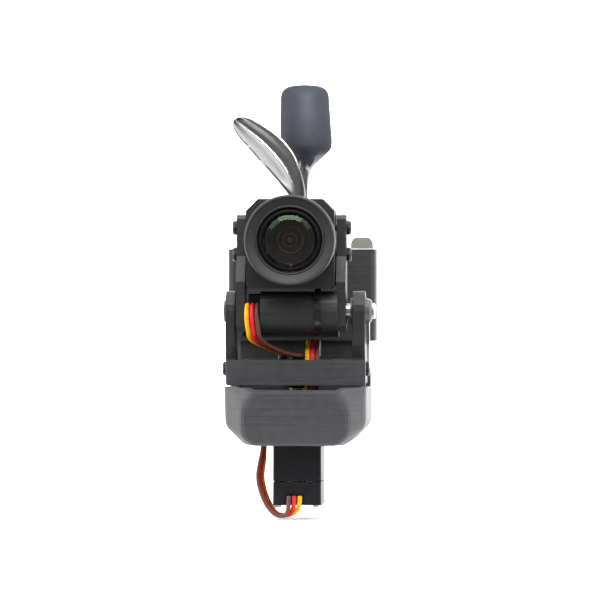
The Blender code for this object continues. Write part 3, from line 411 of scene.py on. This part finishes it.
def tube(name, route, radius, finish, sides=14):
    """A closed mesh tube along a route, its rings turned as little as possible from one to the next."""
    shape = bmesh.new()
    rings = []
    across = None
    for i, place in enumerate(route):
        run = (route[min(i + 1, len(route) - 1)] - route[max(i - 1, 0)]).normalized()
        if across is None:
            across = run.orthogonal().normalized()
        across = (across - run * across.dot(run)).normalized()
        other = run.cross(across)
        ring = []
        for k in range(sides):
            angle = 2 * math.pi * k / sides
            outward = across * math.cos(angle) + other * math.sin(angle)
            ring.append(shape.verts.new(place + outward * radius))
        rings.append(ring)
    for lower, upper in zip(rings, rings[1:]):
        for k in range(sides):
            n = (k + 1) % sides
            shape.faces.new((lower[k], lower[n], upper[n], upper[k]))
    shape.faces.new(rings[0])
    shape.faces.new(rings[-1])
    return add_mesh(name, shape, finish, 50)


# ---------------------------------------------------------------- leads

WIRE_RADIUS = 0.55 * MM
# Each row: the middle wire's place, and the step from it to the third wire, in millimetres
PAN_LEAD_ROUTE = [
    ((-0.6, -6.35, -12.4), (1.3, 0.0, 0.0)),
    ((-0.7, -6.9, -14.0), (1.3, 0.0, 0.0)),
    ((-1.1, -6.6, -15.7), (1.05, 0.85, 0.0)),
    ((-2.6, -5.7, -16.9), (0.3, 1.35, 0.0)),
    ((-5.1, -5.0, -16.55), (0.1, 1.4, 0.1)),
    ((-7.1, -4.4, -14.1), (0.35, 1.35, 0.1)),
    ((-8.5, -3.6, -10.6), (0.45, 1.35, 0.0)),
    ((-9.0, -3.0, -7.4), (0.45, 1.35, 0.0)),
    ((-8.6, -2.4, -4.2), (0.4, 1.35, 0.0)),
    ((-8.25, -1.6, -1.2), (0.2, 1.4, 0.0)),
    ((-8.25, -1.2, 1.6), (0.0, 1.4, 0.0)),
    ((-8.25, -0.8, 7.4), (0.0, 1.4, 0.0)),
]
TILT_LEAD_ROUTE = [
    ((-10.35, -10.95, 33.3), (1.2, 0.0, 0.0)),
    ((-10.4, -12.6, 33.6), (1.2, 0.0, 0.0)),
    ((-10.5, -14.1, 32.0), (1.2, 0.0, 0.0)),
    ((-10.4, -14.5, 29.6), (1.2, 0.0, 0.0)),
    ((-10.1, -14.1, 27.5), (1.2, 0.0, 0.0)),
    ((-9.9, -12.8, 26.0), (1.2, -0.1, 0.0)),
    ((-9.2, -11.0, 25.0), (1.12, -0.45, 0.0)),
    ((-7.9, -9.2, 24.1), (0.95, -0.75, 0.0)),
    ((-6.0, -7.8, 23.2), (0.75, -0.95, 0.0)),
    ((-3.7, -6.7, 22.3), (0.5, -1.1, 0.0)),
    ((-1.2, -6.1, 21.7), (0.25, -1.18, 0.0)),
    ((1.2, -5.5, 21.4), (0.4, -1.13, 0.0)),
    ((2.9, -4.5, 21.3), (0.85, -0.85, 0.0)),
    ((3.7, -3.1, 21.4), (1.17, -0.25, 0.0)),
    ((3.8, -1.9, 22.1), (1.2, 0.0, 0.0)),
    ((3.8, -1.4, 23.5), (1.2, 0.0, 0.0)),
    ((3.8, -2.2, 24.8), (1.2, 0.0, 0.0)),
    ((3.8, -3.6, 24.6), (1.2, 0.0, 0.0)),
    ((3.8, -5.0, 23.7), (1.2, 0.0, 0.0)),
    ((3.8, -6.5, 22.9), (1.2, 0.0, 0.0)),
    ((3.8, -8.0, 22.2), (1.2, 0.0, 0.0)),
    ((3.8, -8.65, 20.6), (1.2, 0.0, 0.0)),
    ((3.8, -8.65, 17.0), (1.2, 0.0, 0.0)),
    ((3.6, -8.5, 12.9), (1.2, 0.0, 0.0)),
]


def ribbon(name, route, colours, body, blend_to=None):
    """Three wires side by side; each is a tube that stands for its CAD tube, which it hides."""
    for step, colour in zip((-1, 0, 1), colours):
        points = [(Vector(middle) + step * Vector(across)) * MM for middle, across in route]
        line = catmull(points, 6)
        node = f"{name}_{colour}"
        piece = tube(f"{node}_wire", line, WIRE_RADIUS, FINISH[f"{colour}_wire"])
        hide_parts(node)
        if blend_to:
            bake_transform(piece)
        else:
            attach(piece, body)


# ---------------------------------------------------------------- aerial

# Each row: x, z, half width and half depth in millimetres
UPRIGHT_ARM = [
    (0.3, 45.9, 1.1, 1.1),
    (0.2, 53.0, 1.2, 1.05),
    (-0.1, 59.0, 1.5, 1.05),
    (-0.3, 63.5, 1.8, 1.1),
    (-0.1, 66.6, 2.2, 1.5),
    (0.5, 68.8, 3.6, 3.0),
    (0.75, 70.3, 4.95, 4.6),
    (0.75, 71.6, 6.0, 5.5),
    (0.75, 73.2, 6.3, 5.8),
    (0.6, 77.0, 6.2, 5.75),
    (0.45, 82.0, 6.0, 5.6),
    (0.4, 84.3, 5.9, 5.5),
    (0.4, 85.6, 5.5, 5.1),
    (0.4, 86.5, 4.6, 4.2),
    (0.4, 87.0, 3.1, 2.9),
    (0.4, 87.25, 0.5, 0.5),
]
SIDE_ARM = [
    (-0.6, 45.9, 1.2, 1.0),
    (-0.7, 51.0, 1.3, 1.0),
    (-0.8, 56.0, 1.4, 1.0),
    (-1.1, 60.1, 2.0, 1.1),
    (-2.7, 64.2, 2.9, 1.3),
    (-4.8, 67.9, 3.7, 1.7),
    (-7.7, 71.4, 3.9, 1.8),
    (-10.3, 73.9, 3.6, 1.7),
    (-12.7, 75.9, 3.1, 1.5),
    (-14.6, 77.5, 2.4, 1.2),
    (-15.8, 78.4, 1.5, 0.9),
    (-16.3, 78.8, 0.5, 0.4),
]
ARM_SIDES = 48
LEAF_STARTS, LEAF_RUN = 57.0, 8.0
LEAN_STARTS, LEAN_RUN = 48.0, 17.0
LIP_MIDDLE, LIP_SLANT = 0.6, 0.36
LEFT_SWEEP, RIGHT_SWEEP = 0.27, 0.04


def share_along(z, start, run):
    """How far z is from start to start + run, from 0 to 1."""
    return min(1.0, max(0.0, (z - start) / run))


def dished_depth(deep, half, turn, angle):
    """How far a dished arm's skin stands behind its middle line.

    It is hollow in front, and its sides sweep forward, the left one most.
    """
    height = math.sin(angle)
    side = math.cos(angle)
    depth = deep * height
    if height < 0:
        lip = LIP_MIDDLE - LIP_SLANT * side
        edge = (LIP_MIDDLE + lip) * turn * height**4
        depth = deep * (height * (1 + (lip - 1) * turn) + edge)
    return depth + turn * half * (LEFT_SWEEP * min(side, 0) - RIGHT_SWEEP * max(side, 0))


def aerial_arm(node, rows, across, foot_y, head_y, dished):
    """A smooth arm through rows of (x, z, half width, half depth); a dished one is hollow in front."""
    shape = bmesh.new()
    rings = []
    for x, z, half, deep in catmull([Vector(row) for row in rows], 5):
        turn = share_along(z, LEAF_STARTS, LEAF_RUN)
        lean = Vector((1, 0, 0)).lerp(Vector(across), turn).normalized()
        y = foot_y + (head_y - foot_y) * share_along(z, LEAN_STARTS, LEAN_RUN)
        ring = []
        for k in range(ARM_SIDES):
            angle = 2 * math.pi * k / ARM_SIDES
            depth = dished_depth(deep, half, turn, angle) if dished else deep * math.sin(angle)
            place = Vector((x, y + depth, z)) + lean * half * math.cos(angle)
            ring.append(shape.verts.new(place * MM))
        rings.append(ring)
    for lower, upper in zip(rings, rings[1:]):
        for k in range(ARM_SIDES):
            n = (k + 1) % ARM_SIDES
            shape.faces.new((lower[k], lower[n], upper[n], upper[k]))
    shape.faces.new(rings[0])
    shape.faces.new(rings[-1])
    finish = FINISH["aerial_gloss" if dished else "moulded_grey"]
    piece = add_mesh(f"{node}_smooth", shape, finish, 60)
    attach(piece, "base")
    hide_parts(node)


# ---------------------------------------------------------------- lens


def lens_round(name, profile, finish, segments=64):
    """A closed profile of (radius, distance to the front) in millimetres, turned round the lens axis."""
    shape = bmesh.new()
    rings = []
    for radius, ahead in profile:
        ring = []
        for k in range(segments):
            angle = 2 * math.pi * k / segments
            place = Vector((radius * math.cos(angle), -ahead, radius * math.sin(angle))) * MM
            ring.append(shape.verts.new(place + LENS))
        rings.append(ring)
    for lower, upper in zip(rings, [*rings[1:], rings[0]]):
        for k in range(segments):
            n = (k + 1) % segments
            shape.faces.new((lower[k], lower[n], upper[n], upper[k]))
    piece = add_mesh(name, shape, FINISH[finish], 30)
    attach(piece, "tilt")
    return piece


HOOD_PROFILE = [
    (10.85, 15.3),
    (10.85, 22.5),
    (10.72, 22.85),
    (10.4, 23.0),
    (10.15, 22.92),
    (10.0, 22.6),
    (9.0, 22.15),
    (8.35, 21.95),
    (8.1, 22.1),
    (7.9, 22.05),
    (7.75, 21.6),
    (7.75, 15.3),
]


LENS_STEPS = [
    (5.85, 16.4),
    (5.85, 19.8),
    (5.3, 19.6),
    (5.1, 18.7),
    (4.3, 18.3),
    (4.1, 17.6),
    (3.1, 17.3),
    (2.9, 16.9),
    (1.35, 16.7),
    (1.3, 16.4),
]
PUPIL = [(0.05, 16.0), (0.05, 16.75), (0.5, 16.65), (0.66, 16.4), (0.66, 16.0)]
# Thin grey rings on the inner step edges, as painted highlights; each row: radius and distance to the
# front in millimetres.
RING_HIGHLIGHTS = [(2.85, 17.5), (1.4, 16.95), (5.55, 19.95)]
RING_HIGHLIGHT_HALF = 0.13


def lens_insides():
    """The hood's dished front, the black steps seen through the front glass, and thin grey rings on them
    that are painted highlights.
    """
    hood = lens_round("lens_hood_dished", HOOD_PROFILE, "hood_black", 96)
    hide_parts("lens_hood")
    lens_round("lens_inner_steps", LENS_STEPS, "inner_black")
    lens_round("lens_pupil", PUPIL, "pupil_painted_glint")
    # Each ring is a thin grey torus, a painted highlight on an edge.
    for i, (radius, ahead) in enumerate(RING_HIGHLIGHTS):
        ring = []
        for k in range(8):
            angle = math.pi * k / 4
            out = RING_HIGHLIGHT_HALF * math.cos(angle)
            forward = RING_HIGHLIGHT_HALF * math.sin(angle)
            ring.append((radius + out, ahead + forward))
        lens_round(f"lens_inner_ring_{i + 1}", ring, "ring_highlight")


# ---------------------------------------------------------------- stage


FLOOR_FRONT = -0.045
FLOOR_DROP = 0.4 * MM
FLOOR_HALF_WIDTH = 5.0
SWEEP_STARTS = 1.2
SWEEP_RADIUS = 0.8
WALL_TOP = 4.0
ROOM_BRIGHT = 2.3
ROOM_DIM = 0.3
DIM_BEFORE, BRIGHT_AFTER = -0.44, -0.3
UPWARD_SHARE = 0.8
# Each lamp: name, place, power in watts and size
LAMPS = [
    ("top_box", (0.0, -0.42, 0.72), 4.6, 0.6),
    ("left_box", (-0.55, -0.02, 0.12), 1.5, 0.35),
    ("right_box", (0.55, -0.02, 0.12), 0.7, 0.35),
    ("back_wall", (0.0, 0.9, 1.0), 44.0, 1.2),
]
BACK_WALL_AIM = Vector((0, 2.0, 0.3))
SPOT_PLACE = Vector((0.09, -0.5, 0.2))
SPOT_AIM = Vector((0.0006, 0.0288, 0.0815))
SPOT_POWER = 48.0
SPOT_ANGLE = math.radians(2.5)


def sweep_backdrop(finish):
    """A pale floor that curves up into a wall behind the part."""
    shape = bmesh.new()
    low = cad_box[0].z - FLOOR_DROP
    profile = [(FLOOR_FRONT, low), (SWEEP_STARTS, low)]
    for i in range(1, 11):
        angle = math.radians(9 * i)
        y = SWEEP_STARTS + SWEEP_RADIUS * math.sin(angle)
        profile.append((y, low + SWEEP_RADIUS - SWEEP_RADIUS * math.cos(angle)))
    profile.append((SWEEP_STARTS + SWEEP_RADIUS, WALL_TOP))
    sides = (-FLOOR_HALF_WIDTH, FLOOR_HALF_WIDTH)
    rows = [[shape.verts.new((x, y, z)) for x in sides] for y, z in profile]
    for near, far in zip(rows, rows[1:]):
        shape.faces.new((near[0], near[1], far[1], far[0]))
    floor = add_mesh("floor", shape, finish, 30)


def room_light():
    """A soft white room all round, dim only in front, as behind a photographer."""
    world = bpy.data.worlds.new("studio")
    bpy.context.scene.world = world
    world.use_nodes = True
    tree = world.node_tree
    place = tree.nodes.new("ShaderNodeTexCoord")
    split = tree.nodes.new("ShaderNodeSeparateXYZ")
    tree.links.new(place.outputs["Generated"], split.inputs[0])
    upward = tree.nodes.new("ShaderNodeMath")
    upward.operation = "MULTIPLY"
    upward.inputs[1].default_value = UPWARD_SHARE
    tree.links.new(split.outputs[2], upward.inputs[0])
    ahead = tree.nodes.new("ShaderNodeMath")
    ahead.operation = "ADD"
    tree.links.new(split.outputs[1], ahead.inputs[0])
    tree.links.new(upward.outputs[0], ahead.inputs[1])
    brightness = tree.nodes.new("ShaderNodeMapRange")
    for key, value in (
        ("From Min", DIM_BEFORE),
        ("From Max", BRIGHT_AFTER),
        ("To Min", ROOM_DIM),
        ("To Max", ROOM_BRIGHT),
    ):
        brightness.inputs[key].default_value = value
    tree.links.new(ahead.outputs[0], brightness.inputs["Value"])
    sky = tree.nodes["Background"]
    sky.inputs[0].default_value = (1, 1, 1, 1)
    tree.links.new(brightness.outputs[0], sky.inputs[1])


def hold_lamp(name, data, place, aim):
    lamp = bpy.data.objects.new(name, data)
    bpy.context.scene.collection.objects.link(lamp)
    lamp.location = place
    lamp.rotation_mode = "QUATERNION"
    lamp.rotation_quaternion = (aim - Vector(place)).to_track_quat("-Z", "Y")


def stage():
    made = Surface("pale_floor", (0.93, 0.93, 0.93), 0.7)
    made.vary_colour(made.noise(80 * MM), 0.99, 1.0)
    made.bump(made.noise(2 * MM), 0.02 * MM)
    sweep_backdrop(made.done())
    bpy.context.scene.view_settings.view_transform = "Standard"
    room_light()
    spot = bpy.data.lights.new("aerial_spot", "SPOT")
    spot.energy = SPOT_POWER
    spot.spot_size = SPOT_ANGLE
    spot.spot_blend = 0.5
    spot.shadow_soft_size = 0.01
    hold_lamp("aerial_spot", spot, SPOT_PLACE, SPOT_AIM)
    for name, place, power, size in LAMPS:
        data = bpy.data.lights.new(name, "AREA")
        data.energy = power
        data.size = size
        hold_lamp(name, data, place, BACK_WALL_AIM if name == "back_wall" else VIEW_TARGET)


make_camera()
ribbon("pan_lead", PAN_LEAD_ROUTE, ("brown", "red", "yellow"), "base")
ribbon("tilt_lead", TILT_LEAD_ROUTE, ("yellow", "red", "brown"), "pan", "tilt")
aerial_arm("aerial_upright_arm", UPRIGHT_ARM, (1, 0, 0), 28.4, 28.8, False)
aerial_arm("aerial_side_arm", SIDE_ARM, (0.8, 0, 0.6), 24.6, 21.9, True)
lens_insides()
dress_frame()
stage()
